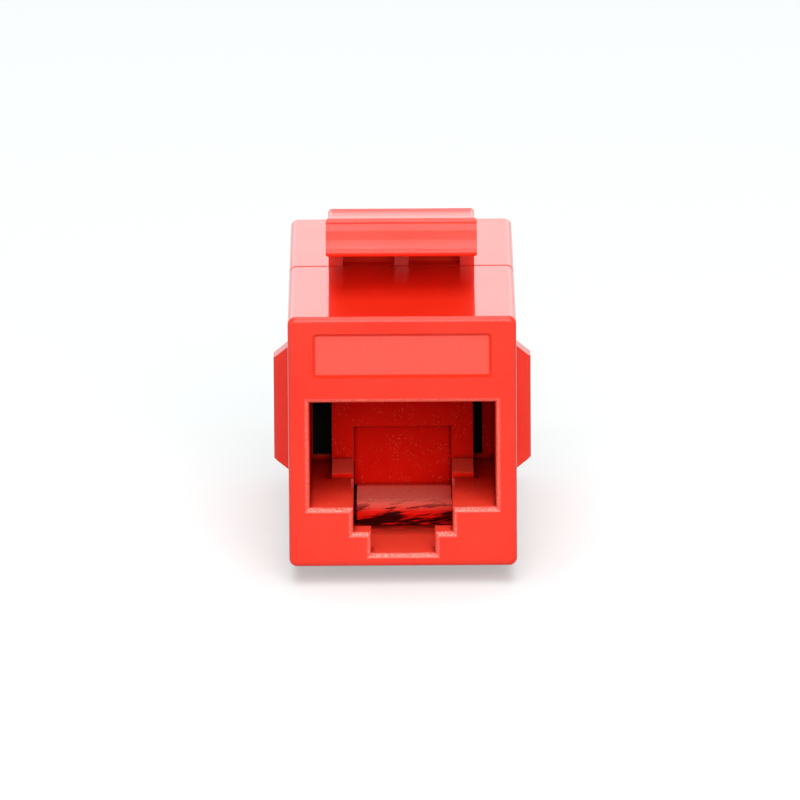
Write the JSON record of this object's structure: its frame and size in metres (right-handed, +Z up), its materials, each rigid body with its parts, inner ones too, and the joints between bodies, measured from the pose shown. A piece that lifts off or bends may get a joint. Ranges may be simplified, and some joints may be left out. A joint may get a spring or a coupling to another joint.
{
  "type": "rj45 inline coupler",
  "caption": "Snap-in inline coupler with an 8P8C socket at each end, a sprung top latch and a fixed lower hook.",
  "frame": {"origin": "centre of the front socket's mouth, on the front face", "axes": "+X to the right seen from the front, +Y from the front socket to the rear socket, +Z up towards the latch"},
  "size_m": [0.0164, 0.0305, 0.0221],
  "materials": {
    "red_shell": "glossy red moulded shell",
    "red_insert": "satin red moulded insert",
    "contact_gold": "gold-plated spring wire",
    "board": "black glass-fibre board"
  },
  "bodies": {
    "root": {"front_housing": "red_shell", "rear_housing": "red_shell", "front_contact_carrier": "red_insert", "rear_contact_carrier": "red_insert", "circuit_board": "board", "front_contact_1": "contact_gold", "front_contact_2": "contact_gold", "front_contact_3": "contact_gold", "front_contact_4": "contact_gold", "front_contact_5": "contact_gold", "front_contact_6": "contact_gold", "front_contact_7": "contact_gold", "front_contact_8": "contact_gold", "rear_contact_1": "contact_gold", "rear_contact_2": "contact_gold", "rear_contact_3": "contact_gold", "rear_contact_4": "contact_gold", "rear_contact_5": "contact_gold", "rear_contact_6": "contact_gold", "rear_contact_7": "contact_gold", "rear_contact_8": "contact_gold"}
  },
  "joints": []
}
